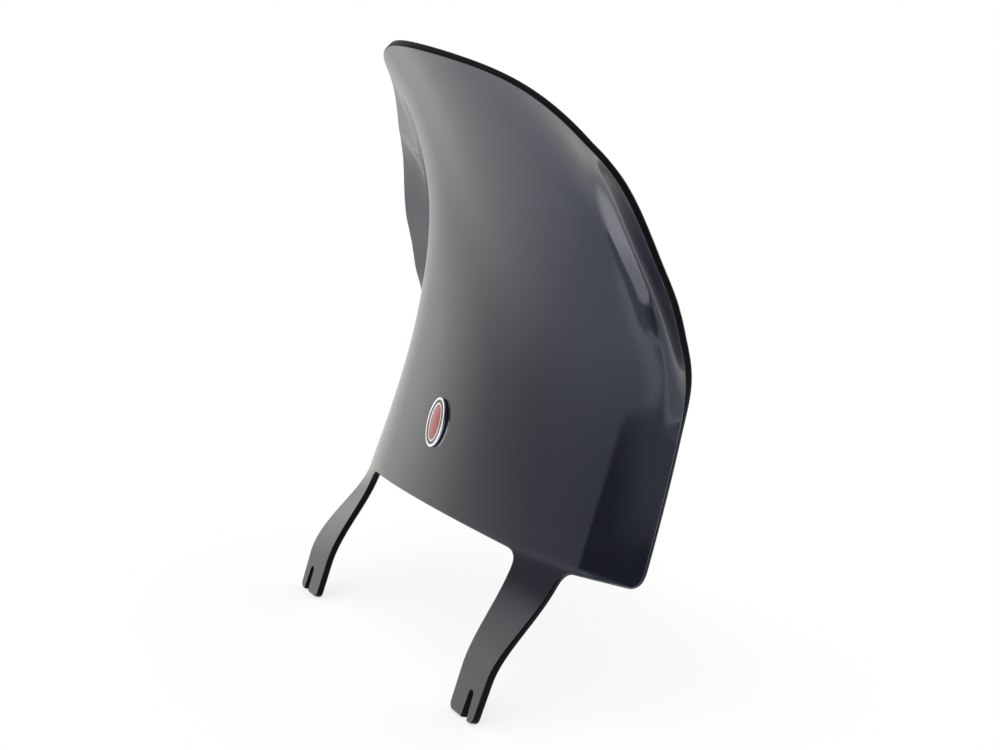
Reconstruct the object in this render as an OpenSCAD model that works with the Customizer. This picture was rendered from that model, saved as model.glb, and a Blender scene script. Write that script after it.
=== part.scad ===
// Windshield screen: one moulded sheet on two slotted legs, with an oval badge stuck to its front.
// Millimetres. X runs across, Y from front to back, Z up. The origin lies midway between the two
// fixing screws, on the back face of the leg ends. Heights and half widths are measured along the
// sheet: a height s runs up from the leg ends, a half width q runs out from the centre line.

/* [Sheet] */
// Thickness of the sheet
sheet_t = 5; // [3:0.5:7]
// Bevel that eases the edge all round
edge_bevel = 1; // [0.4:0.1:1.4]

/* [Outline] */
// Height of the crown
crown_h = 421; // [390:1:460]
// How far the crown runs level to each side
crown_run = 54; // [40:1:80]
// Half width at the waist, where the shoulder meets the flank
waist_q = 191; // [180:1:205]
// Height of the waist
waist_h = 242; // [225:1:260]
// How far the shoulder runs straight up from the waist
shoulder_run = 76; // [50:1:95]
// How far the flank runs straight down from the waist
flank_run = 27; // [15:1:70]
// How far the lower corners stand out past the waist
corner_out = 6; // [0:0.5:12]
// Height of the lower corners
corner_h = 105; // [98:1:112]
// Radius of the lower corners
corner_r = 7; // [3:0.5:12]
// Height of the lower edge at the centre line
base_h = 105; // [100:1:115]
// Drop of the lower edge from the centre line to the legs
base_drop = 3; // [0:0.5:6]

/* [Legs] */
// Half the gap between the legs
leg_q = 111; // [100:1:118]
// Width of a leg at its end
leg_end_w = 29; // [24:0.5:34]
// Width of a leg at its root
leg_root_w = 35; // [30:0.5:40]
// Radius between a leg and the lower edge of the screen
root_in_r = 10; // [5:0.5:15]
// Radius between a leg and the hip
root_out_r = 12; // [5:0.5:16]
// Radius of the corners at a leg's end
end_r = 4; // [2:0.5:6]
// Height of the flat seat at a leg's end
seat_h = 26; // [22:1:34]

/* [Slots] */
// Width of a slot at its closed end, clear of an M5 screw
slot_w = 5.4; // [4.4:0.1:6.6]
// Width of a slot at its mouth
slot_mouth_w = 7.4; // [6.6:0.1:9]
// Height of the screw's axis at the closed end
slot_h = 15; // [12:0.5:17]
// Distance of a slot from the inner edge of its leg
slot_inset = 19; // [15:0.5:21]

/* [Curves] */
// Lean of the leg ends, backward from upright, in degrees
lean_leg = 20; // [10:1:30]
// Lean that the legs turn to
lean_root = 9; // [0:1:20]
// Lean that the lower screen turns to
lean_lower = 35; // [20:1:45]
// Lean that the upper screen turns to
lean_upper = -13; // [-25:1:0]
// Lean of the crown
lean_crown = -44; // [-55:1:-30]
// Radius of the wrap across the base
wrap_base_r = 350; // [280:10:500]
// Radius that the wrap turns to
wrap_mid_r = 240; // [200:10:400]
// Radius of the wrap at the crown
wrap_crown_r = 230; // [200:10:400]

/* [Flare] */
// Angle that the flare turns forward, in degrees
flare_deg = 52; // [30:1:60]
// Angle that it fades to at the crown
flare_crown_deg = 7; // [0:1:50]
// Width of the fold into the flare
flare_fold = 16; // [12:1:40]
// Height where the flare starts
flare_h = 190; // [170:1:205]
// Height where the flare is full
flare_full_h = 250; // [235:1:300]
// Half width of the flare's crease where it starts
flare_low_q = 176; // [165:1:195]
// Half width that the crease sets out for
flare_set_q = 183; // [165:1:200]
// Half width that the crease bends in to
flare_bend_q = 74; // [60:1:110]
// Half width of the crease at the crown
flare_crown_q = 63; // [45:1:80]

/* [Hips] */
// Angle that the hips turn backward, in degrees
hip_deg = 10; // [2:1:18]
// Half width of the hip's crease
hip_q = 150; // [145:1:170]
// Width of the fold into the hip
hip_fold = 12; // [8:1:24]
// Height where the hip's fold has faded
hip_fade_h = 231; // [200:1:260]

/* [Badge] */
// Height of the badge's centre
badge_h = 158; // [135:1:250]
// Width of the badge
badge_w = 22; // [18:0.5:30]
// Length of the badge
badge_l = 34; // [28:0.5:44]
// Thickness of the badge's plate
badge_t = 1.6; // [1.2:0.1:2.4]
// Width of the badge's bright rim
rim_w = 1.4; // [0.8:0.1:2]
// Width of the black ring inside the rim
ring_w = 2.4; // [1.5:0.1:3]
// Width of the bright line inside the black ring
line_w = 0.8; // [0.5:0.1:1.2]
// Depth of the recesses for the enamel
recess = 0.8; // [0.4:0.1:1]
// Crown of the red enamel above the rim
dome_h = 0.5; // [0.2:0.1:1]
// Thickness of the tape under the badge
tape_t = 0.9; // [0.7:0.1:1.5]
// Inset of the tape from the badge's edge
tape_inset = 0.8; // [0.3:0.1:2]
// Clearance of the enamel in its recess, and of the tape over the sheet
clearance = 0.05; // [0.03:0.01:0.1]

/* [Hidden] */

// Cells of the sheet's mesh: along half the base, up a flank, down a leg
MID_CELLS = 11;
LEG_CELLS = 8;
HIP_CELLS = 6;
ROUND_CELLS = 2;
FLANK_CELLS = 15;
SHOULDER_CELLS = 17;
FILLET_CELLS = 4;
SHANK_CELLS = 7;
SEAT_CELLS = 2;
SHOULDER_SPLIT = 0.55;
// Chords of the profile up the centre line, and of a section across the sheet
PROFILE_CHORDS = 213;
CHORDS = 16;
// Sides and rings of the badge's ovals
OVAL_SIDES = 48;
OVAL_RINGS = 5;

leg_in = MID_CELLS;
leg_out = leg_in + LEG_CELLS;
columns = leg_out + HIP_CELLS + ROUND_CELLS;
rows = ROUND_CELLS + FLANK_CELLS + SHOULDER_CELLS;
leg_end_cells = LEG_CELLS - 2 * ROUND_CELLS;
leg_rows = FILLET_CELLS + SHANK_CELLS + SEAT_CELLS + ROUND_CELLS;

function lerp(a, b, t) = a + (b - a) * t;
function share(x, low, high) = max(0, min(1, (x - low) / (high - low)));
function smooth(t) = t * t * (3 - 2 * t);
function sum(list) = list * [for (x = list) 1];
function reversed(list) = [for (i = [len(list) - 1 : -1 : 0]) list[i]];
function bezier(c, t) = len(c) == 1
    ? c[0]
    : bezier([for (i = [0 : len(c) - 2]) lerp(c[i], c[i + 1], t)], t);
function steps(n, from = 0, to = 1) = [for (i = [0 : n]) lerp(from, to, i / n)];

// The profile on the centre line: a chain of short chords that lean as the height says
profile_step = (crown_h + sheet_t) / PROFILE_CHORDS;
leans = [lean_leg, lean_root, lean_lower, lean_upper, lean_crown];
function lean(s) = bezier(leans, share(s, seat_h, crown_h));
function up(s) = [0, sin(lean(s)), cos(lean(s))];
function through(s) = [0, cos(lean(s)), -sin(lean(s))];
chain = [for (i = 0, p = [0, 0, 0]; i <= PROFILE_CHORDS;
    p = p + profile_step * up((i + 0.5) * profile_step), i = i + 1) p];
function profile(s) =
    let (k = max(0, min(PROFILE_CHORDS - 1, floor(s / profile_step))))
    lerp(chain[k], chain[k + 1], s / profile_step - k);

// The section across the sheet at one height: wrap per mm, crease, flare and hip angles
function section(s) = [
    bezier([1 / wrap_base_r, 1 / wrap_mid_r, 1 / wrap_crown_r], share(s, base_h, crown_h))
        * smooth(share(s, seat_h, base_h)) * 180 / PI,
    bezier([flare_low_q, flare_set_q, flare_bend_q, flare_crown_q], share(s, flare_h, crown_h)),
    lerp(flare_deg, flare_crown_deg, smooth(share(s, flare_full_h, crown_h)))
        * smooth(share(s, flare_h, flare_full_h)),
    hip_deg * (1 - smooth(share(s, base_h, hip_fade_h)))
];
function turn(q, c) = c[0] * min(q, c[1] + flare_fold / 2)
    - c[2] * smooth(share(q, c[1], c[1] + flare_fold))
    + c[3] * smooth(share(q, hip_q, hip_q + hip_fold));

// A point of the sheet, at a depth behind its front face
seat_point = slot_h * up(0) + sheet_t * through(0);
function sheet(q, s, depth = 0) =
    let (
        c = section(s),
        side = sign(q),
        chord = abs(q) / CHORDS,
        turns = [for (i = [0 : CHORDS - 1]) turn((i + 0.5) * chord, c)],
        end = turn(abs(q), c),
        across = chord * sum([for (a = turns) cos(a)]) - depth * sin(end),
        back = chord * sum([for (a = turns) sin(a)]) + depth * cos(end)
    )
    profile(s) + [side * across, 0, 0] + back * through(s) - seat_point;

// The flat outline of the right half, as curves of [q, s]
root_h = base_h - base_drop;
corner_q = waist_q + corner_out;
leg_out_q = leg_q + leg_root_w;
hip_start = [leg_out_q + root_out_r, root_h];
flank = [[waist_q, waist_h], [waist_q, waist_h - flank_run], [corner_q, corner_h]];
crown = [[0, crown_h], [crown_run, crown_h], [waist_q, waist_h + shoulder_run], [waist_q, waist_h]];
flank_end = corner_r / norm(flank[2] - flank[0]);
corner = [
    lerp(flank[2], hip_start, corner_r / norm(hip_start - flank[2])),
    flank[2],
    bezier(flank, 1 - flank_end)
];
function base_edge(q) = [q, base_h - base_drop * pow(q / leg_q, 2)];
function leg_outer(s) = [lerp(leg_q + leg_end_w, leg_out_q, s / root_h), s];
function leg_inner(s) = [leg_q, s];
root_in = [base_edge(leg_q - root_in_r), leg_inner(root_h), leg_inner(root_h - root_in_r)];
root_out = [hip_start, leg_outer(root_h), leg_outer(root_h - root_out_r)];
end_in = [leg_inner(end_r), leg_inner(0), leg_inner(0) + [end_r, 0]];
end_out = [leg_outer(0) - [end_r, 0], leg_outer(0), leg_outer(end_r)];

// A grid of [q, s] between four edges: low and high run outward, near and far run upward
function patch(low, high, near, far) =
    let (n = len(low) - 1, m = len(near) - 1, width = low[n][0] - low[0][0])
    [for (i = [0 : m]) let (v = i / m)
        [for (j = [0 : n]) let (u = (low[j][0] - low[0][0]) / width)
            lerp(low[j], high[j], v) + lerp(near[i], far[i], u)
                - lerp(lerp(low[0], low[n], u), lerp(high[0], high[n], u), v)]];

base_row = concat(
    [for (t = steps(MID_CELLS)) base_edge(t * (leg_q - root_in_r))],
    [for (i = [1 : LEG_CELLS]) lerp(root_in[0], hip_start, i / LEG_CELLS)],
    [for (i = [1 : HIP_CELLS]) lerp(hip_start, corner[0], i / HIP_CELLS)],
    [for (i = [1 : ROUND_CELLS]) bezier(corner, i / ROUND_CELLS / 2)]
);
crown_row = [for (p = base_row) bezier(crown, SHOULDER_SPLIT * p[0] / base_row[columns][0])];
centre_column = [for (t = steps(rows)) [0, lerp(base_h, crown_h, t)]];
flank_column = concat(
    [for (t = steps(ROUND_CELLS, 0.5, 1)) bezier(corner, t)],
    [for (i = [1 : FLANK_CELLS]) bezier(flank, (1 - flank_end) * (1 - i / FLANK_CELLS))],
    [for (i = [1 : SHOULDER_CELLS]) bezier(crown, lerp(1, SHOULDER_SPLIT, i / SHOULDER_CELLS))]
);

leg_end_row = concat(
    [for (t = steps(ROUND_CELLS, 0.5, 1)) bezier(end_in, t)],
    [for (i = [1 : leg_end_cells]) lerp(end_in[2], end_out[0], i / leg_end_cells)],
    [for (i = [1 : ROUND_CELLS]) bezier(end_out, i / ROUND_CELLS / 2)]
);
leg_root_row = [for (j = [leg_in : leg_out]) base_row[j]];
function leg_column(end, root, edge) = concat(
    [for (t = steps(ROUND_CELLS, 0.5, 1)) bezier(end, t)],
    [for (i = [1 : SEAT_CELLS]) edge(lerp(end_r, seat_h, i / SEAT_CELLS))],
    [for (i = [1 : SHANK_CELLS]) edge(lerp(seat_h, root[2][1], i / SHANK_CELLS))],
    [for (i = [1 : FILLET_CELLS]) bezier(root, 1 - i / FILLET_CELLS)]
);
inner_column = leg_column(reversed(end_in), root_in, function(s) leg_inner(s));
outer_column = leg_column(end_out, root_out, function(s) leg_outer(s));

module screen() {
    body = patch(base_row, crown_row, centre_column, flank_column);
    leg = patch(leg_end_row, leg_root_row, inner_column, outer_column);
    body_count = (rows + 1) * (2 * columns + 1);
    leg_count = leg_rows * (LEG_CELLS + 1);

    // Points of the front face, row by row from the base, then each leg from its end up to its root
    function body_id(i, j) = i * (2 * columns + 1) + columns + j;
    function leg_id(side, i, j) = i == leg_rows
        ? body_id(0, side * (leg_in + j))
        : body_count + (side > 0 ? leg_count : 0) + i * (LEG_CELLS + 1) + j;
    function mirrored(p, side) = [side * p[0], p[1]];
    flat = concat(
        [for (i = [0 : rows], j = [-columns : columns]) mirrored(body[i][abs(j)], sign(j))],
        [for (side = [-1, 1], i = [0 : leg_rows - 1], j = [0 : LEG_CELLS]) mirrored(leg[i][j], side)]
    );

    // Two triangles of a cell, given clockwise from its inner lower corner on the right half
    function cell(a, b, c, d, side) = side > 0 ? [[a, b, c], [a, c, d]] : [[c, b, a], [d, c, a]];
    front = [
        for (side = [-1, 1], i = [0 : rows - 1], j = [0 : columns - 1], f = cell(
            body_id(i, side * j), body_id(i + 1, side * j),
            body_id(i + 1, side * (j + 1)), body_id(i, side * (j + 1)), side)) f,
        for (side = [-1, 1], i = [0 : leg_rows - 1], j = [0 : LEG_CELLS - 1], f = cell(
            leg_id(side, i, j), leg_id(side, i + 1, j),
            leg_id(side, i + 1, j + 1), leg_id(side, i, j + 1), side)) f
    ];

    // The edge, clockwise from the crown as seen from the front
    function half_loop(side) = concat(
        [for (j = [0 : columns]) body_id(rows, side * j)],
        [for (i = [rows - 1 : -1 : 0]) body_id(i, side * columns)],
        [for (j = [columns - 1 : -1 : leg_out]) body_id(0, side * j)],
        [for (i = [leg_rows - 1 : -1 : 0]) leg_id(side, i, LEG_CELLS)],
        [for (j = [LEG_CELLS - 1 : -1 : 0]) leg_id(side, 0, j)],
        [for (i = [1 : leg_rows - 1]) leg_id(side, i, 0)],
        [for (j = [leg_in : -1 : 0]) body_id(0, side * j)]
    );
    left = reversed(half_loop(-1));
    loop = concat(half_loop(1), [for (i = [1 : len(left) - 2]) left[i]]);
    n = len(loop);
    function outward(k) =
        let (d = flat[loop[(k + 1) % n]] - flat[loop[(k + n - 1) % n]])
        [-d[1], d[0]] / norm(d);
    rim = [for (k = [0 : n - 1]) flat[loop[k]] + edge_bevel * outward(k)];

    count = len(flat);
    points = concat(
        [for (p = flat) sheet(p[0], p[1], 0)],
        [for (p = flat) sheet(p[0], p[1], sheet_t)],
        [for (p = rim) sheet(p[0], p[1], edge_bevel)],
        [for (p = rim) sheet(p[0], p[1], sheet_t - edge_bevel)]
    );
    rings = [
        loop,
        [for (k = [0 : n - 1]) 2 * count + k],
        [for (k = [0 : n - 1]) 2 * count + n + k],
        [for (id = loop) count + id]
    ];
    edge = [for (r = [0 : len(rings) - 2], k = [0 : n - 1])
        let (a = rings[r], b = rings[r + 1], next = (k + 1) % n)
        each [[a[k], b[k], b[next]], [a[k], b[next], a[next]]]];
    back = [for (f = front) [for (id = reversed(f)) count + id]];

    color("dimgray") difference() {
        polyhedron(points, concat(front, back, edge));
        for (side = [-1, 1]) leg_slot(side);
    }
}

// The slot in one leg, open at the leg's end
module leg_slot(side) {
    past = 2 * end_r;
    mouth = slot_mouth_w / 2;
    translate(sheet(side * (leg_q + slot_inset), slot_h, sheet_t / 2))
    rotate([90 - lean_leg, 0, 0])
    translate([0, 0, -sheet_t])
    linear_extrude(2 * sheet_t) {
        circle(d = slot_w, $fn = 48);
        polygon([[-slot_w / 2, 0], [slot_w / 2, 0], [mouth, -slot_h], [mouth, -slot_h - past],
            [-mouth, -slot_h - past], [-mouth, -slot_h]]);
    }
}

// The badge: its local Z points out of the sheet's front
badge_x = badge_w / 2;
badge_y = badge_l / 2;
plate_z = tape_t;
face_z = plate_z + badge_t;
floor_z = face_z - recess;

module at_badge() {
    translate(sheet(0, badge_h)) rotate([90 - lean(badge_h), 0, 0]) children();
}

module oval(inset) {
    polygon([for (i = [0 : OVAL_SIDES - 1]) let (a = 360 * i / OVAL_SIDES)
        [(badge_x - inset) * cos(a), (badge_y - inset) * sin(a)]]);
}

module oval_ring(outer, inner, height) {
    linear_extrude(height) difference() {
        oval(outer);
        oval(inner);
    }
}

// A solid over an oval, between two faces that are given as functions of [x, y]
module oval_pad(inset, low, high) {
    flat = [[0, 0], for (r = [1 : OVAL_RINGS], i = [0 : OVAL_SIDES - 1]) let (a = 360 * i / OVAL_SIDES)
        [(badge_x - inset) * cos(a), (badge_y - inset) * sin(a)] * r / OVAL_RINGS];
    count = len(flat);
    function id(r, i) = r == 0 ? 0 : 1 + (r - 1) * OVAL_SIDES + i % OVAL_SIDES;
    top = [for (r = [0 : OVAL_RINGS - 1], i = [0 : OVAL_SIDES - 1])
        each concat([[id(r, i), id(r + 1, i + 1), id(r + 1, i)]],
            r == 0 ? [] : [[id(r, i), id(r, i + 1), id(r + 1, i + 1)]])];
    bottom = [for (f = top) [for (k = reversed(f)) count + k]];
    wall = [for (i = [0 : OVAL_SIDES - 1])
        let (a = id(OVAL_RINGS, i), b = id(OVAL_RINGS, i + 1))
        each [[a, b, count + b], [a, count + b, count + a]]];
    polyhedron(concat([for (p = flat) high(p)], [for (p = flat) low(p)]), concat(top, bottom, wall));
}

module badge_tape() {
    front = -through(badge_h);
    under = function(p) sheet(p[0], badge_h + p[1], -clearance);
    over = function(p) sheet(0, badge_h) + [p[0], 0, 0] + p[1] * up(badge_h) + plate_z * front;
    color("black") oval_pad(tape_inset, under, over);
}

module badge_plate() {
    color("silver") at_badge() {
        translate([0, 0, plate_z]) linear_extrude(badge_t - recess) oval(0);
        translate([0, 0, floor_z]) oval_ring(0, rim_w, recess);
        translate([0, 0, floor_z]) oval_ring(rim_w + ring_w, rim_w + ring_w + line_w, recess);
    }
}

module badge_ring() {
    color([0.05, 0.05, 0.06]) at_badge() translate([0, 0, floor_z])
        oval_ring(rim_w + clearance, rim_w + ring_w - clearance, recess);
}

module badge_centre() {
    inset = rim_w + ring_w + line_w + clearance;
    reach = [badge_x - inset, badge_y - inset];
    fall = function(p) pow(p[0] / reach[0], 2) + pow(p[1] / reach[1], 2);
    under = function(p) [p[0], p[1], floor_z];
    dome = function(p) [p[0], p[1], face_z + dome_h * (1 - fall(p))];
    color("firebrick") at_badge() oval_pad(inset, under, dome);
}

screen();
badge_tape();
badge_plate();
badge_ring();
badge_centre();
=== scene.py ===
"""Looks of the windshield screen: the moulded smoke sheet, its badge, the studio and the camera.

Metres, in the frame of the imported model: X across, Y from front to back, Z up. The sheet is made from
a flat blank: the blank is cut and its edge eased, then every point is carried to the moulded surface.
On the blank, q runs out from the centre line, s runs up from the leg ends and depth runs to the back.
The badge is made flat too, with its own Z out of the sheet's front.
"""

import math

import bmesh
import bpy
import numpy as np
from mathutils import Matrix, Vector


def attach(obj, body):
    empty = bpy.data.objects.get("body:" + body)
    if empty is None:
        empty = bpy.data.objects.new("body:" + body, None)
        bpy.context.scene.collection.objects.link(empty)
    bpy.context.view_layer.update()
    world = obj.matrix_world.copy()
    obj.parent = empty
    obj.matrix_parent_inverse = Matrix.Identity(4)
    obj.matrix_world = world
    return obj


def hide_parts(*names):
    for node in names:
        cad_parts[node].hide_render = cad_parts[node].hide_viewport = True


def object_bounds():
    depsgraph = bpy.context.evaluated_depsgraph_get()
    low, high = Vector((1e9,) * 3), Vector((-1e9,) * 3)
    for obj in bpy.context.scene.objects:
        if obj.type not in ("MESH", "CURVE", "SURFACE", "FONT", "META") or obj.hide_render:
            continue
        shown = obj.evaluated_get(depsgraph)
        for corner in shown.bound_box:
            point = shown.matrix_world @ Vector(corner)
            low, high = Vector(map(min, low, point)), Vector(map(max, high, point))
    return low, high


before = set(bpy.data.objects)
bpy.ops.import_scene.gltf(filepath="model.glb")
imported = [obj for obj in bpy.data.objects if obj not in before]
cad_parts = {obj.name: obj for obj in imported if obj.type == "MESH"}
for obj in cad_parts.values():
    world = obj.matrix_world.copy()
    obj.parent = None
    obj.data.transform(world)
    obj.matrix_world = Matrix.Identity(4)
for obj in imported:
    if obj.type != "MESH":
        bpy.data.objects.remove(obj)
cad_low, cad_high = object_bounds()
MM = 0.001

# Sheet and its eased edge
SHEET_T = 5 * MM
EDGE_EASE = 1 * MM
EDGE_ROUND = 0.9 * EDGE_EASE

# Outline of the blank
CROWN_H = 421 * MM
CROWN_RUN = 54 * MM
WAIST_Q = 191 * MM
WAIST_H = 242 * MM
SHOULDER_RUN = 76 * MM
FLANK_RUN = 27 * MM
CORNER_OUT = 6 * MM
CORNER_H = 105 * MM
CORNER_R = 7 * MM
BASE_H = 105 * MM
BASE_DROP = 3 * MM

# Legs and their slots
LEG_Q = 111 * MM
LEG_END_W = 29 * MM
LEG_ROOT_W = 35 * MM
ROOT_IN_R = 10 * MM
ROOT_OUT_R = 12 * MM
END_R = 4 * MM
SEAT_H = 26 * MM
SLOT_W = 5.4 * MM
SLOT_MOUTH_W = 7.4 * MM
SLOT_H = 15 * MM
SLOT_INSET = 19 * MM

# Bend of the sheet: leans up the centre line in degrees, and radii across it from the base to the crown
LEANS = [20, 9, 35, -13, -44]
WRAP_RADII = [350 * MM, 240 * MM, 230 * MM]

# Flare: how far the sides turn forward, and the heights where that begins and is full
FLARE_DEG = 52
FLARE_CROWN_DEG = 7
FLARE_H = 190 * MM
FLARE_FULL_H = 250 * MM

# Sharp lip where the flare folds low down: a curve of q up the sheet, and heights where it fades and ends
LIP_CREASE = [180.5 * MM, 216.5 * MM, -6.5 * MM, 297.5 * MM]
LIP_FADE_H = 270 * MM
LIP_END_H = 345 * MM
LIP_FOLD = 8 * MM
LIP_FOLD_LOW = 14 * MM
LIP_FOLD_H = 236 * MM
LIP_FOLD_FULL_H = 268 * MM

# Soft crease where the flare folds towards the crown, which takes over from the lip
SOFT_CREASE = [184 * MM, 191 * MM, 82 * MM, 71 * MM]
SOFT_FOLD = 40 * MM
SOFT_H = 266 * MM
SOFT_FULL_H = 336 * MM

# Slight roll back just before the lip: its strip of q, measured in from the lip, and its heights
ROLL_DEG = 10
ROLL_OUT = 13 * MM
ROLL_IN = 3 * MM
ROLL_H = 238 * MM
ROLL_FULL_H = 266 * MM
ROLL_FADE_H = 320 * MM
ROLL_END_H = 352 * MM

# Hip: the lower corners turn further back
HIP_DEG = 10
HIP_Q = 150 * MM
HIP_FOLD = 12 * MM
HIP_FADE_H = 231 * MM

# Badge
BADGE_H = 158 * MM
BADGE_W = 22 * MM
BADGE_L = 34 * MM
BADGE_T = 1.6 * MM
RIM_W = 1.4 * MM
RING_W = 2.4 * MM
LINE_W = 0.8 * MM
RECESS = 0.8 * MM
DOME_H = 0.5 * MM
MENISCUS = 0.12 * MM
TAPE_T = 0.9 * MM
TAPE_INSET = 0.8 * MM
CLEARANCE = 0.05 * MM
BADGE_EASE = 0.12 * MM

# Camera: its bearing and elevation in degrees, its distance, and where the leg ends lie in its view
CAMERA_BEARING = 61.509
CAMERA_ELEVATION = 11.663
CAMERA_DISTANCE = 1020 * MM
CAMERA_SHIFT = 84.1 * MM
CAMERA_RAISE = 184.1 * MM
CAMERA_NEAR = 10 * MM
CAMERA_LENS = 54
SENSOR_W = 36


# Curves and ramps

def lerp(a, b, t):
    """What lies t of the way from a to b, for numbers, arrays and wires."""
    return a + (b - a) * t


def share(x, low, high):
    """How far x has come from low to high, from 0 to 1. Low may be the larger."""
    return np.clip((x - low) / (high - low), 0, 1)


def ramp(x, low, high):
    """The same share with smooth ends."""
    t = share(x, low, high)
    return t * t * (3 - 2 * t)


def bezier(points, t):
    """The Bezier curve of any number of values or points, at one t or an array of them."""
    points = list(points)
    while len(points) > 1:
        points = [lerp(a, b, t) for a, b in zip(points, points[1:])]
    return points[0]


def curve(points, cells, start=0.0, end=1.0):
    """Points of [q, s] along a Bezier curve."""
    t = np.linspace(start, end, cells + 1)[:, None]
    return bezier(np.array(points, float), t)


def joined(*runs):
    """One row of points from runs that start where the run before ends."""
    return np.vstack([runs[0]] + [run[1:] for run in runs[1:]])


# The moulded surface

PROFILE_CHORDS = 400
PROFILE_SPARE = 10 * MM
SECTION_CHORDS = 48


def lean(s):
    return np.radians(bezier(LEANS, share(s, SEAT_H, CROWN_H)))


def up_and_through(s):
    """Directions up the sheet and through it, on the centre line."""
    a = lean(s)
    zero = np.zeros_like(a)
    return (
        np.stack([zero, np.sin(a), np.cos(a)], -1),
        np.stack([zero, np.cos(a), -np.sin(a)], -1),
    )


# A chain of short chords up the centre line
CHAIN_S = np.linspace(-PROFILE_SPARE, CROWN_H + PROFILE_SPARE, PROFILE_CHORDS + 1)
CHAIN_STEPS = up_and_through((CHAIN_S[1:] + CHAIN_S[:-1]) / 2)[0] * np.diff(CHAIN_S)[:, None]
CHAIN = np.vstack([np.zeros(3), np.cumsum(CHAIN_STEPS, 0)])


def profile(s):
    """Points of the front face on the centre line."""
    return np.stack([np.interp(s, CHAIN_S, CHAIN[:, k]) for k in range(3)], -1)


# The model's origin: on the centre line, between the slots, level with the back of the legs
SEAT_UP, SEAT_THROUGH = up_and_through(np.array(0.0))
SEAT_POINT = profile(np.array(0.0)) + SLOT_H * SEAT_UP + SHEET_T * SEAT_THROUGH


def flare_angle(s):
    """How far the sides turn forward at a height."""
    degrees = lerp(FLARE_DEG, FLARE_CROWN_DEG, ramp(s, FLARE_FULL_H, CROWN_H))
    return np.radians(degrees) * ramp(s, FLARE_H, FLARE_FULL_H)


def roll_angle(s):
    """How far the roll before the lip turns back at a height."""
    return math.radians(ROLL_DEG) * ramp(s, ROLL_H, ROLL_FULL_H) * ramp(s, ROLL_END_H, ROLL_FADE_H)


def hip_angle(s):
    """How far the lower corners turn back at a height."""
    return math.radians(HIP_DEG) * ramp(s, HIP_FADE_H, BASE_H)


def turn(q, s):
    """Angle in radians by which the sheet has turned back, at q from the centre line.

    The sheet wraps back as far as its crease. It rolls back a little more just before the lip, then
    folds forward into the flare, over the lip or the soft crease. Low down, the hip turns it back again.
    """
    wrap = bezier([1 / r for r in WRAP_RADII], share(s, BASE_H, CROWN_H)) * ramp(s, SEAT_H, BASE_H)
    soft_crease = bezier(SOFT_CREASE, share(s, FLARE_H, CROWN_H))
    lip_crease = bezier(LIP_CREASE, share(s, FLARE_H, CROWN_H))
    lip_fold = lerp(LIP_FOLD_LOW, LIP_FOLD, ramp(s, LIP_FOLD_H, LIP_FOLD_FULL_H))
    lip_in = lip_crease - lip_fold / 2
    lip_out = lip_crease + lip_fold / 2
    soft = ramp(s, SOFT_H, SOFT_FULL_H)
    sharp = ramp(s, LIP_END_H, LIP_FADE_H)
    over_soft = ramp(q, soft_crease - SOFT_FOLD / 2, soft_crease + SOFT_FOLD / 2)
    over_lip = ramp(q, lip_in, lip_out)
    before_lip = ramp(q, lip_in - ROLL_OUT, lip_in - ROLL_IN) * (1 - over_lip)
    return (
        wrap * np.minimum(q, lerp(soft_crease, lip_crease, sharp))
        + roll_angle(s) * before_lip
        - flare_angle(s) * (soft * over_soft + sharp * over_lip)
        + hip_angle(s) * ramp(q, HIP_Q, HIP_Q + HIP_FOLD)
    )


def moulded(flat):
    """Carries points [q, s, depth] of the blank to the moulded sheet."""
    q, s, depth = np.abs(flat[:, 0]), flat[:, 1], flat[:, 2]
    chord = q / SECTION_CHORDS
    turns = [turn((i + 0.5) * chord, s) for i in range(SECTION_CHORDS)]
    end = turn(q, s)
    across = chord * np.sum(np.cos(turns), 0) - depth * np.sin(end)
    back = chord * np.sum(np.sin(turns), 0) + depth * np.cos(end)
    made = profile(s) + back[:, None] * up_and_through(s)[1] - SEAT_POINT
    made[:, 0] += np.sign(flat[:, 0]) * across
    return made


# Meshes

# Angles in radians past which an edge is shaded sharp, and past which it is a square corner
SHARP_ANGLE = 0.6
SQUARE_ANGLE = 1
MERGE = 0.01 * MM
FINE_MERGE = 0.001 * MM


def finished(bm, name, node, slot, *finishes):
    """Makes the mesh an object that stands for one CAD node."""
    bmesh.ops.recalc_face_normals(bm, faces=bm.faces[:])
    if bm.calc_volume(signed=True) < 0:
        bmesh.ops.reverse_faces(bm, faces=bm.faces[:])
    for face in bm.faces:
        face.smooth = True
    for edge in bm.edges:
        edge.smooth = edge.calc_face_angle(0) < SHARP_ANGLE
    mesh = bpy.data.meshes.new(name)
    bm.to_mesh(mesh)
    bm.free()
    for finish in finishes:
        mesh.materials.append(finish)
    piece = bpy.data.objects.new(name, mesh)
    bpy.context.scene.collection.objects.link(piece)
    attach(piece, "root")
    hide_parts(node)
    return piece


def reshape(bm, carry):
    """Moves every vertex by a function of arrays of points."""
    placed = carry(np.array([v.co for v in bm.verts], float))
    for v, co in zip(bm.verts, placed):
        v.co = co


def ease(bm, edges, width, segments):
    """Rounds edges over."""
    bmesh.ops.bevel(
        bm,
        geom=edges,
        offset=width,
        offset_type="OFFSET",
        affect="EDGES",
        segments=segments,
        profile=0.5,
        material=-1,
    )


def only(kind, geom):
    return [g for g in geom if isinstance(g, kind)]


# The screen's blank

# Cells along half the base, up the flank, and down a leg
MID_CELLS = 50
INNER_CELLS = 16
SLOT_CELLS = 10
OUTER_CELLS = 10
HIP_CELLS = 18
ROUND_CELLS = 5
FLANK_CELLS = 62
SHOULDER_CELLS = 84
SHOULDER_SPLIT = 0.55
SHANK_CELLS = 34
FILLET_CELLS = 8
TOE_CELLS = 6

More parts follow.
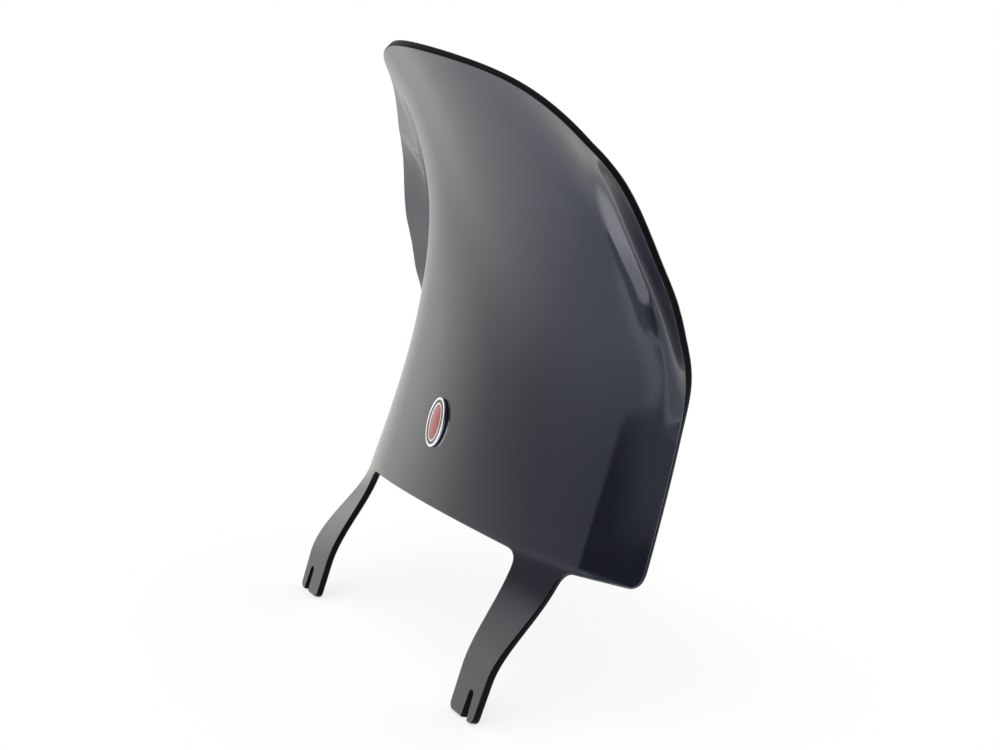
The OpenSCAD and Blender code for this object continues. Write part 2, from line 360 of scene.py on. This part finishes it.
# Edges of the base and the leg, as points of [q, s]
ROOT_H = BASE_H - BASE_DROP
LEG_OUT_Q = LEG_Q + LEG_ROOT_W


def base_edge(q):
    return np.array([q, BASE_H - BASE_DROP * (q / LEG_Q) ** 2])


def leg_inner(s):
    return np.array([LEG_Q, s])


def leg_outer(s):
    return np.array([lerp(LEG_Q + LEG_END_W, LEG_OUT_Q, s / ROOT_H), s])


# Curves of the outline, each by its Bezier points of [q, s]
HIP_START = np.array([LEG_OUT_Q + ROOT_OUT_R, ROOT_H])
CORNER_POINT = np.array([WAIST_Q + CORNER_OUT, CORNER_H])
WAIST = np.array([WAIST_Q, WAIST_H])
CROWN = np.array([[0, CROWN_H], [CROWN_RUN, CROWN_H], WAIST + [0, SHOULDER_RUN], WAIST])
FLANK = np.array([WAIST, WAIST - [0, FLANK_RUN], CORNER_POINT])
FLANK_END = 1 - CORNER_R / np.linalg.norm(CORNER_POINT - WAIST)
CORNER = [
    lerp(CORNER_POINT, HIP_START, CORNER_R / np.linalg.norm(HIP_START - CORNER_POINT)),
    CORNER_POINT,
    bezier(FLANK, FLANK_END),
]
ROOT_IN = [base_edge(LEG_Q - ROOT_IN_R), leg_inner(ROOT_H), leg_inner(ROOT_H - ROOT_IN_R)]
ROOT_OUT = [HIP_START, leg_outer(ROOT_H), leg_outer(ROOT_H - ROOT_OUT_R)]
END_IN = [leg_inner(END_R), leg_inner(0), leg_inner(0) + [END_R, 0]]
END_OUT = [leg_outer(0) - [END_R, 0], leg_outer(0), leg_outer(END_R)]

# The slot: the arch at its top, and its mouth
ARCH_CENTRE = np.array([LEG_Q + SLOT_INSET, SLOT_H])
MOUTH_IN = ARCH_CENTRE - [SLOT_MOUTH_W / 2, SLOT_H]
MOUTH_OUT = ARCH_CENTRE + [SLOT_MOUTH_W / 2, -SLOT_H]
ARCH_ANGLES = np.linspace(math.pi, 0, SLOT_CELLS + 1)
ARCH = ARCH_CENTRE + SLOT_W / 2 * np.stack([np.cos(ARCH_ANGLES), np.sin(ARCH_ANGLES)], -1)

# Rows that two patches of the blank share
ROOT_ROW = curve([ROOT_IN[0], HIP_START], INNER_CELLS + SLOT_CELLS + OUTER_CELLS)
SEAT_ROW = joined(
    curve([leg_inner(SLOT_H), ARCH[0]], INNER_CELLS),
    ARCH,
    curve([ARCH[-1], leg_outer(SLOT_H)], OUTER_CELLS),
)


def add_patch(bm, low, high, near, far):
    """A grid of the blank between four edges: low and high run outward, near and far run upward."""
    columns, rows = len(low) - 1, len(near) - 1
    grid = bmesh.ops.create_grid(bm, x_segments=columns, y_segments=rows, size=1)
    for v in grid["verts"]:
        j = round((v.co.x + 1) / 2 * columns)
        i = round((v.co.y + 1) / 2 * rows)
        u = (low[j][0] - low[0][0]) / (low[-1][0] - low[0][0])
        t = i / rows
        corners = lerp(lerp(low[0], low[-1], u), lerp(high[0], high[-1], u), t)
        v.co.xy = lerp(low[j], high[j], t) + lerp(near[i], far[i], u) - corners


def add_panel(bm):
    """Half the screen above its base."""
    base_row = joined(
        np.array([base_edge(q) for q in np.linspace(0, LEG_Q - ROOT_IN_R, MID_CELLS + 1)]),
        ROOT_ROW,
        curve([HIP_START, CORNER[0]], HIP_CELLS),
        curve(CORNER, ROUND_CELLS, 0, 0.5),
    )
    flank_column = joined(
        curve(CORNER, ROUND_CELLS, 0.5, 1),
        curve(FLANK, FLANK_CELLS, FLANK_END, 0),
        curve(CROWN, SHOULDER_CELLS, 1, SHOULDER_SPLIT),
    )
    crown_row = bezier(CROWN, SHOULDER_SPLIT * base_row[:, :1] / base_row[-1, 0])
    centre_column = curve([[0, BASE_H], [0, CROWN_H]], len(flank_column) - 1)
    add_patch(bm, base_row, crown_row, centre_column, flank_column)


def add_shank(bm):
    """The leg above its slot."""
    inner_side = joined(
        curve([leg_inner(SLOT_H), ROOT_IN[2]], SHANK_CELLS),
        curve(ROOT_IN, FILLET_CELLS, 1, 0),
    )
    outer_side = joined(
        curve([leg_outer(SLOT_H), ROOT_OUT[2]], SHANK_CELLS),
        curve(ROOT_OUT, FILLET_CELLS, 1, 0),
    )
    add_patch(bm, SEAT_ROW, ROOT_ROW, inner_side, outer_side)


def add_inner_toe(bm):
    """The leg's end between its inner side and the slot."""
    sole = joined(
        curve(END_IN, ROUND_CELLS, 0.5, 1),
        curve([END_IN[2], MOUTH_IN], INNER_CELLS - ROUND_CELLS),
    )
    side = joined(
        curve(END_IN, ROUND_CELLS, 0.5, 0),
        curve([END_IN[0], leg_inner(SLOT_H)], TOE_CELLS),
    )
    slot_side = curve([MOUTH_IN, ARCH[0]], ROUND_CELLS + TOE_CELLS)
    add_patch(bm, sole, SEAT_ROW[: INNER_CELLS + 1], side, slot_side)


def add_outer_toe(bm):
    """The leg's end between the slot and its outer side."""
    sole = joined(
        curve([MOUTH_OUT, END_OUT[0]], OUTER_CELLS - ROUND_CELLS),
        curve(END_OUT, ROUND_CELLS, 0, 0.5),
    )
    side = joined(
        curve(END_OUT, ROUND_CELLS, 0.5, 1),
        curve([END_OUT[2], leg_outer(SLOT_H)], TOE_CELLS),
    )
    slot_side = curve([MOUTH_OUT, ARCH[-1]], ROUND_CELLS + TOE_CELLS)
    add_patch(bm, sole, SEAT_ROW[-OUTER_CELLS - 1 :], slot_side, side)


def flat_blank():
    """The blank's front face, cut to its outline, slots and all, before the edge is eased."""
    bm = bmesh.new()
    add_panel(bm)
    add_shank(bm)
    add_inner_toe(bm)
    add_outer_toe(bm)
    bmesh.ops.mirror(bm, geom=bm.verts[:] + bm.edges[:] + bm.faces[:], axis="X", merge_dist=MERGE)
    bmesh.ops.remove_doubles(bm, verts=bm.verts[:], dist=MERGE)
    bmesh.ops.recalc_face_normals(bm, faces=bm.faces[:])
    return bm


def middle(edge):
    return (edge.verts[0].co + edge.verts[1].co) / 2


SLOT_MARGIN = 0.15 * MM


def on_slot(edge):
    """Whether an edge of the blank lies along a slot."""
    point = middle(edge)
    beside = abs(abs(point.x) - LEG_Q - SLOT_INSET)
    return beside < SLOT_MOUTH_W / 2 + SLOT_MARGIN and point.y < SLOT_H + SLOT_W / 2 + MERGE


def corner_shift(side_a, side_b):
    """The shift that carries a corner's two sides outward, each by its own width."""
    (a, width_a), (b, width_b) = side_a, side_b
    c = a.dot(b)
    if width_a == width_b:
        return (a + b) * width_a / (1 + c)
    return (a * (width_a - width_b * c) + b * (width_b - width_a * c)) / (1 - c * c)


def place_key(vert):
    """A vertex's place, rounded to a thousandth of a millimetre so that it can be looked up."""
    return vert.co.to_tuple(6)


def grow_edge(bm, width):
    """Adds one row of faces outside the blank's edge, square to it. The slots stay as they are."""
    rim = [e for e in bm.edges if e.is_boundary]
    sides = {}
    for e in rim:
        out = (e.verts[1].co - e.verts[0].co).cross(Vector((0, 0, 1))).normalized()
        if out.dot(middle(e) - e.link_faces[0].calc_center_median()) < 0:
            out.negate()
        for v in e.verts:
            sides.setdefault(place_key(v), []).append((out, 0 if on_slot(e) else width))
    grown = bmesh.ops.extrude_edge_only(bm, edges=[e for e in rim if not on_slot(e)])["geom"]
    for v in only(bmesh.types.BMVert, grown):
        v.co += corner_shift(*sides[place_key(v)])


# The edge's places in the sheet's list of finishes, and how squarely a face that isn't an edge lies
EDGE_FINISH = 1
PAINTED_GLOW_FINISH = 2
FACE_ON = 0.95
EDGE_SEGMENTS = 4


def moulded_screen(*finishes):
    """The sheet. Its finishes are those of the faces, of the cut edge and of the edge's back corner, which
    has a painted glow.
    """
    bm = flat_blank()
    grow_edge(bm, EDGE_EASE)
    back = bmesh.ops.extrude_face_region(bm, geom=bm.faces[:])["geom"]
    bmesh.ops.translate(bm, verts=only(bmesh.types.BMVert, back), vec=(0, 0, SHEET_T))
    bmesh.ops.recalc_face_normals(bm, faces=bm.faces[:])
    level = [e for e in bm.edges if abs(e.verts[0].co.z - e.verts[1].co.z) < MERGE]
    rims = [e for e in level if e.calc_face_angle(0) > SQUARE_ANGLE and not on_slot(e)]
    ease(bm, rims, EDGE_ROUND, EDGE_SEGMENTS)
    bm.normal_update()
    for face in bm.faces:
        if abs(face.normal.z) < FACE_ON:
            at_back = face.calc_center_median().z > SHEET_T - EDGE_EASE
            # Edge faces near the back get the finish with the painted glow of light through the thin
            # corner
            face.material_index = PAINTED_GLOW_FINISH if at_back else EDGE_FINISH
    reshape(bm, moulded)
    return finished(bm, "moulded_screen", "screen", "smoke_sheet", *finishes)


# The badge

OVAL_SIDES = 96
OVAL_STEPS = 8
TAPE_CORE = 0.2
DOME_TIP = 0.05
BADGE_SEGMENTS = 3
PLATE_Z = TAPE_T
FACE_Z = PLATE_Z + BADGE_T
WELL_Z = FACE_Z - RECESS
LINE_IN = RIM_W + RING_W
CENTRE_IN = LINE_IN + LINE_W
BADGE_UP, BADGE_THROUGH = up_and_through(np.array(BADGE_H))
BADGE_POINT = moulded(np.array([[0, BADGE_H, 0]]))[0]


def on_front(flat):
    """Carries points of the badge to its place on the sheet's front."""
    return BADGE_POINT + flat @ np.array([[1, 0, 0], BADGE_UP, -BADGE_THROUGH])


def on_sheet(flat):
    """As on_front, but what lies lowest follows the sheet."""
    q, s, out = flat.T
    under = moulded(np.stack([q, BADGE_H + s, np.full_like(out, -CLEARANCE)], -1))
    return np.where(flat[:, 2:] < MERGE, under, on_front(flat))


def oval(inset, out, size=1.0):
    """One ring of the badge: its half width, its half length and how far it lies out."""
    return np.array([(BADGE_W / 2 - inset) * size, (BADGE_L / 2 - inset) * size, out])


def loft(rings, hollow=False):
    """A closed body through rings. A hollow one goes round to its first ring, and others are capped."""
    bm = bmesh.new()
    bmesh.ops.create_circle(bm, cap_ends=not hollow, segments=OVAL_SIDES, radius=1)
    verts, edges = bm.verts[:], bm.edges[:]
    place = np.array([1, 1, 0])
    for number, ring in enumerate(rings):
        if number > 0:
            grown = bmesh.ops.extrude_edge_only(bm, edges=edges)["geom"]
            verts = only(bmesh.types.BMVert, grown)
            edges = [e for e in only(bmesh.types.BMEdge, grown) if set(e.verts) <= set(verts)]
        bmesh.ops.scale(bm, verts=verts, vec=(*(ring[:2] / place[:2]), 1))
        bmesh.ops.translate(bm, verts=verts, vec=(0, 0, ring[2] - place[2]))
        place = ring
    if hollow:
        bmesh.ops.remove_doubles(bm, verts=bm.verts[:], dist=FINE_MERGE)
    else:
        bmesh.ops.contextual_create(bm, geom=edges)
    bmesh.ops.recalc_face_normals(bm, faces=bm.faces[:])
    return bm


def badge_tape(finish):
    """Foam tape, cut under to the sheet's curve."""
    under = [oval(TAPE_INSET, 0, size) for size in np.linspace(TAPE_CORE, 1, OVAL_STEPS)]
    bm = loft([*under, oval(TAPE_INSET, PLATE_Z)])
    reshape(bm, on_sheet)
    return finished(bm, "tape_of_badge", "badge_tape", "foam_tape", finish)


def badge_plate(finish):
    """The plate, with a rim round its outer recess and a line round its middle one."""
    bm = loft([
        oval(0, PLATE_Z),
        oval(0, FACE_Z),
        oval(RIM_W, FACE_Z),
        oval(RIM_W, WELL_Z),
        oval(LINE_IN, WELL_Z),
        oval(LINE_IN, FACE_Z),
        oval(CENTRE_IN, FACE_Z),
        oval(CENTRE_IN, WELL_Z),
    ])
    ease(bm, [e for e in bm.edges if e.calc_face_angle(0) > SHARP_ANGLE], BADGE_EASE, BADGE_SEGMENTS)
    reshape(bm, on_front)
    return finished(bm, "plate_of_badge", "badge_plate", "bright_metal", finish)


def badge_ring(finish):
    """Enamel in the outer recess, which climbs a little at both walls."""
    outer, inner = RIM_W + CLEARANCE, LINE_IN - CLEARANCE
    steps = np.linspace(0, 1, OVAL_STEPS)
    top = [oval(lerp(outer, inner, t), FACE_Z - MENISCUS * 4 * t * (1 - t)) for t in steps]
    bm = loft([oval(outer, WELL_Z), *top, oval(inner, WELL_Z), oval(outer, WELL_Z)], hollow=True)
    reshape(bm, on_front)
    return finished(bm, "ring_of_badge", "badge_ring", "black_enamel", finish)


def badge_centre(finish):
    """Enamel in the middle recess, domed."""
    inset = CENTRE_IN + CLEARANCE
    sizes = np.linspace(1, DOME_TIP, 2 * OVAL_STEPS)
    dome = [oval(inset, FACE_Z + DOME_H * (1 - size * size), size) for size in sizes]
    bm = loft([oval(inset, WELL_Z), *dome])
    reshape(bm, on_front)
    return finished(bm, "centre_of_badge", "badge_centre", "red_enamel", finish)


# Shader nodes

class Wire:
    """A node's output, on which arithmetic adds Math nodes."""

    def __init__(self, nodes, output):
        self.nodes = nodes
        self.output = output

    def maths(self, operation, a, b):
        return self.nodes.add("Math", {"operation": operation}, {0: a, 1: b})["Value"]

    def __add__(self, other):
        return self.maths("ADD", self, other)

    def __sub__(self, other):
        return self.maths("SUBTRACT", self, other)

    def __rsub__(self, other):
        return self.maths("SUBTRACT", other, self)

    def __mul__(self, other):
        return self.maths("MULTIPLY", self, other)

    __radd__ = __add__
    __rmul__ = __mul__


def opaque(colour):
    """A colour as a socket takes it, from a wire or from red, green and blue."""
    return colour if isinstance(colour, Wire) else (*colour, 1)


class Nodes:
    """The node tree of a material or the world."""

    def __init__(self, owner):
        owner.use_nodes = True
        self.tree = owner.node_tree
        self.tree.nodes.clear()

    def add(self, kind, settings=None, inputs=None):
        """Adds a node. Its settings come first, then the values or wires of its sockets."""
        made = self.tree.nodes.new("ShaderNode" + kind)
        for name, value in (settings or {}).items():
            setattr(made, name, value)
        for name, value in (inputs or {}).items():
            sockets = [i for i in made.inputs if i.enabled]
            socket = sockets[name] if isinstance(name, int) else next(i for i in sockets if i.name == name)
            if isinstance(value, Wire):
                self.tree.links.new(value.output, socket)
            else:
                socket.default_value = value
        return {o.name: Wire(self, o) for o in made.outputs if o.enabled}

    def mix(self, factor, a, b):
        """A colour between two colours."""
        inputs = {"Factor": factor, "A": opaque(a), "B": opaque(b)}
        return self.add("Mix", {"data_type": "RGBA"}, inputs)["Result"]

    def noise(self, where, per_metre, detail=2.0, roughness=0.5):
        """Noise of about 0 to 1 at Object coordinates, with about so many features to a metre."""
        inputs = {"Vector": where, "Scale": per_metre, "Detail": detail, "Roughness": roughness}
        return self.add("TexNoise", None, inputs)["Fac"]

    def bump(self, height, depth):
        """A normal from a height of 0 to 1 that stands for a depth in metres."""
        return self.add("Bump", None, {"Distance": depth, "Height": height})["Normal"]

    def between(self, value, low, high):
        """The value's smooth share of the way from low to high."""
        inputs = {0: value, 1: low, 2: high}
        return self.add("MapRange", {"interpolation_type": "SMOOTHSTEP"}, inputs)["Result"]

    def along(self, direction, axis):
        """How far a direction runs along an axis."""
        return self.add("VectorMath", {"operation": "DOT_PRODUCT"}, {0: direction, 1: axis})["Value"]


def material(name):
    """A new material, its nodes, and the Object coordinates that its patterns are laid on."""
    made = bpy.data.materials.new(name)
    nodes = Nodes(made)
    where = nodes.add("TexCoord")["Object"]
    return made, nodes, where


def shade(nodes, **inputs):
    """Ends a material with one Principled shader."""
    named = {name.replace("_", " "): value for name, value in inputs.items()}
    shader = nodes.add("BsdfPrincipled", None, named)["BSDF"]
    nodes.add("OutputMaterial", None, {"Surface": shader})


# Finishes

def smoke_sheet():
    """Polished dark smoke polycarbonate, with faint waves from the mould and a little dust."""
    made, nodes, where = material("smoke_sheet")
    cloud = nodes.noise(where, 14)
    haze = nodes.noise(where, 60, detail=4)
    waves = nodes.noise(where, 22, detail=1)
    dust = nodes.between(nodes.noise(where, 1500, detail=1), 0.70, 0.76)
    shade(
        nodes,
        Base_Color=nodes.mix(cloud, (0.0085, 0.0095, 0.0150), (0.0105, 0.0115, 0.0180)),
        Roughness=0.045 + 0.035 * haze + 0.1 * dust,
        IOR=1.585,
        Normal=nodes.bump(waves, 0.1 * MM),
    )
    return made


def cut_edge():
    """The sheet's cut edge, which looks through the sheet's whole width and so is near black."""
    made, nodes, where = material("cut_edge")
    rub = nodes.noise(where, 240, detail=4)
    grain = nodes.noise(where, 900)
    shade(
        nodes,
        Base_Color=nodes.mix(rub, (0.0015, 0.0015, 0.0015), (0.0045, 0.0040, 0.0035)),
        Roughness=0.38 + 0.16 * rub,
        Specular_IOR_Level=0.08,
        Normal=nodes.bump(grain, 0.02 * MM),
    )
    return made


def painted_glow_corner():
    """The edge's back corner, painted olive brown as a glow that stands for light shining through where it
    is thin.
    """
    made, nodes, where = material("painted_glow_corner")
    # Uneven painted glow: the noise mixes two olive browns and varies the roughness
    rub = nodes.noise(where, 90, detail=3)
    shade(
        nodes,
        Base_Color=nodes.mix(rub, (0.030, 0.026, 0.018), (0.062, 0.055, 0.038)),
        Roughness=0.28 + 0.14 * rub,
        Specular_IOR_Level=0.3,
    )
    return made


def foam_tape():
    """Matt black foam, with its open cells on the cut sides."""
    made, nodes, where = material("foam_tape")
    cells = nodes.noise(where, 4000)
    shade(
        nodes,
        Base_Color=nodes.mix(cells, (0.016, 0.016, 0.017), (0.040, 0.040, 0.042)),
        Roughness=0.75 + 0.2 * cells,
        Normal=nodes.bump(cells, 0.08 * MM),
    )
    return made


def bright_metal():
    """Polished plate with fine rubbing marks."""
    made, nodes, where = material("bright_metal")
    cloud = nodes.noise(where, 300)
    rub = nodes.noise(where, 2600, detail=4, roughness=0.7)
    shade(
        nodes,
        Base_Color=nodes.mix(cloud, (0.70, 0.71, 0.73), (0.80, 0.80, 0.81)),
        Metallic=1.0,
        Roughness=0.06 + 0.12 * rub,
    )
    return made


# Darkest and lightest colours of the enamels
BLACK = ((0.009, 0.009, 0.010), (0.016, 0.016, 0.018))
RED = ((0.30, 0.035, 0.030), (0.40, 0.055, 0.045))


def enamel(name, dark, light):
    """Glassy enamel, a little uneven in colour and surface."""
    made, nodes, where = material(name)
    cloud = nodes.noise(where, 420, detail=3)
    rub = nodes.noise(where, 2000, detail=3)
    shade(
        nodes,
        Base_Color=nodes.mix(cloud, dark, light),
        Roughness=0.05 + 0.06 * rub,
        Coat_Weight=0.4,
        Normal=nodes.bump(cloud, 0.02 * MM),
    )
    return made


# Camera

def on_sky(bearing, elevation):
    """A direction, in degrees: its bearing from the front towards +X, and its elevation."""
    b, e = math.radians(bearing), math.radians(elevation)
    return math.sin(b) * math.cos(e), -math.cos(b) * math.cos(e), math.sin(e)


def set_camera():
    """Puts the leg ends where they lie in the photograph."""
    right = Vector(on_sky(CAMERA_BEARING + 90, 0))
    back = Vector(on_sky(CAMERA_BEARING, CAMERA_ELEVATION))
    up = back.cross(right)
    leg_ends = Vector(moulded(np.zeros((1, 3)))[0])
    camera = bpy.data.objects.new("camera", bpy.data.cameras.new("camera"))
    camera.data.lens = CAMERA_LENS
    camera.data.sensor_width = SENSOR_W
    camera.data.clip_start = CAMERA_NEAR
    camera.matrix_world = Matrix((right, up, back)).transposed().to_4x4()
    camera.location = leg_ends + right * CAMERA_SHIFT + up * CAMERA_RAISE + back * CAMERA_DISTANCE
    bpy.context.scene.collection.objects.link(camera)
    bpy.context.scene.camera = camera


# Studio

# Brightness of its parts, where 1 is white. That of the box and of the board changes from foot to top
DIM = 0.353
FLOOR_GLOW = 0.692
WALL_GLOW = 0.702
LAMP_GLOW = 1.17
BACK_GLOW = 0.6
CEILING_GLOW = 0.6
SHEEN_GLOW = 0.42
GAP_LEVEL = 0.63
BOX_LEVELS = (3.7, 2.3)
BOARD_LEVELS = (0.42, 0.08)

# Round patches in degrees: bearing and elevation of the middle, how far out it begins and where it is full
FLOOR_PATCH = (11.8, -60.8, 84.2, 65.7)
WALL_PATCH = (-63.8, -38.9, 67.7, 26.3)
LAMP_PATCH = (-71.2, 30.2, 40.1, 0)
BACK_PATCH = (180, 0, 75.5, 45.6)
FRONT_PATCH = (0, 0, 75.5, 56.6)
RIGHT_PATCH = (90, 0, 180, 75.5)
SHEEN_PATCH = (40.7, -19.6, 41.0, 38.3)
GAP_PATCH = (40.7, -19.6, 37.4, 36.3)
BOX_PATCH = (96.8, -44.9, 83.0, 82.1)
BOX_FOOT_PATCH = (96.8, -44.9, 86.6, 78.5)
BOARD_SIDE_PATCH = (101.0, 0, 94.3, 86.6)
BOARD_UNDER_PATCH = (148.9, 69.5, 90.9, 89.8)

# Elevations in degrees between which a thing begins or ends, or its brightness changes
CEILING_RISE = (48.6, 71.8)
SHEEN_RISE = (-4.6, 0)
GAP_RISE = (-11.5, -6.9)
BOX_FOOT_RISE = (-12.7, -8.0)
BOX_FADE_RISE = (-9.2, 9.2)
BOX_TOP_RISE = (15.1, 16.9)
BOARD_FOOT_RISE = (12.4, 13.6)
BOARD_FADE_RISE = (13.0, 16.9)

# Colours of the light: at the left, at the right, and as the camera sees the background
WARM = (1.01, 1.0, 0.96)
COOL = (0.955, 1.0, 1.21)
WHITE = (1, 1, 1)
BOX_WHITENESS = 0.5


def seen_directly(nodes):
    """1 where the camera looks straight at a thing or through glass, 0 where it lights or is mirrored."""
    rays = nodes.add("LightPath")
    return rays["Is Camera Ray"] + rays["Is Transmission Ray"]


def set_world():
    """A dim studio with a bright floor before the part, a pale wall at the left and a lamp above it.

    At the front right a soft box stands low, with a sheen and a dark gap beside it and a dark board above.
    """
    world = bpy.data.worlds.new("studio")
    bpy.context.scene.world = world
    nodes = Nodes(world)
    direction = nodes.add("TexCoord")["Generated"]

    def patch(bearing, elevation, begins, full):
        """1 inside a round patch, 0 outside it."""
        ends = [math.cos(math.radians(angle)) for angle in (begins, full)]
        return nodes.between(nodes.along(direction, on_sky(bearing, elevation)), *ends)

    def above(low, high):
        """1 above a stretch of elevations, 0 below it."""
        return patch(0, 90, 90 - low, 90 - high)

    level = (
        DIM
        + FLOOR_GLOW * patch(*FLOOR_PATCH)
        + WALL_GLOW * patch(*WALL_PATCH)
        + LAMP_GLOW * patch(*LAMP_PATCH)
        + BACK_GLOW * patch(*BACK_PATCH)
        + CEILING_GLOW * above(*CEILING_RISE)
    )
    front = patch(*FRONT_PATCH)
    below_board = front * (1 - above(*BOARD_FOOT_RISE))
    level = level + SHEEN_GLOW * below_board * patch(*SHEEN_PATCH) * above(*SHEEN_RISE)
    level = lerp(level, GAP_LEVEL, below_board * patch(*GAP_PATCH) * above(*GAP_RISE))

    box_body = patch(*BOX_PATCH) * (1 - above(*BOX_TOP_RISE))
    box = front * lerp(patch(*BOX_FOOT_PATCH), box_body, above(*BOX_FOOT_RISE))
    level = lerp(level, lerp(*BOX_LEVELS, above(*BOX_FADE_RISE)), box)
    board = front * patch(*BOARD_SIDE_PATCH) * patch(*BOARD_UNDER_PATCH) * (1 - box)
    level = lerp(level, lerp(*BOARD_LEVELS, above(*BOARD_FADE_RISE)), board)

    tint = nodes.mix(patch(*RIGHT_PATCH) * (1 - BOX_WHITENESS * box), WARM, COOL)
    seen = seen_directly(nodes)
    inputs = {"Color": nodes.mix(seen, tint, WHITE), "Strength": lerp(level, 1.0, seen)}
    light = nodes.add("Background", None, inputs)["Background"]
    nodes.add("OutputWorld", None, {"Surface": light})


FLOOR_R = 0.6
FLOOR_SIDES = 96
FLOOR_PALE = (0.9, 0.9, 0.9)
SHADOW = (0.70, 0.71, 0.73)
SHADOW_REACH = 0.25
SHADOW_SAMPLES = 16


def lay_floor():
    """A round pale floor under the leg ends: white to the camera, with the part's soft shadow."""
    made = bpy.data.materials.new("floor")
    nodes = Nodes(made)
    openness = nodes.add("AmbientOcclusion", {"samples": SHADOW_SAMPLES}, {"Distance": SHADOW_REACH})["AO"]
    bright = nodes.add("Emission", None, {"Color": nodes.mix(openness, SHADOW, WHITE)})["Emission"]
    pale = nodes.add("BsdfDiffuse", None, {"Color": opaque(FLOOR_PALE)})["BSDF"]
    either = nodes.add("MixShader", None, {0: seen_directly(nodes), 1: pale, 2: bright})["Shader"]
    nodes.add("OutputMaterial", None, {"Surface": either})
    bm = bmesh.new()
    bmesh.ops.create_circle(bm, cap_ends=True, segments=FLOOR_SIDES, radius=FLOOR_R)
    bmesh.ops.translate(bm, verts=bm.verts[:], vec=(0, 0, cad_low.z))
    mesh = bpy.data.meshes.new("floor")
    bm.to_mesh(mesh)
    bm.free()
    mesh.materials.append(made)
    floor = bpy.data.objects.new("floor", mesh)
    floor.visible_glossy = False
    bpy.context.scene.collection.objects.link(floor)


# The whole scene

set_camera()
set_world()
lay_floor()
moulded_screen(smoke_sheet(), cut_edge(), painted_glow_corner())
badge_tape(foam_tape())
badge_plate(bright_metal())
badge_ring(enamel("black_enamel", *BLACK))
badge_centre(enamel("red_enamel", *RED))
bpy.context.scene.view_settings.view_transform = "Standard"
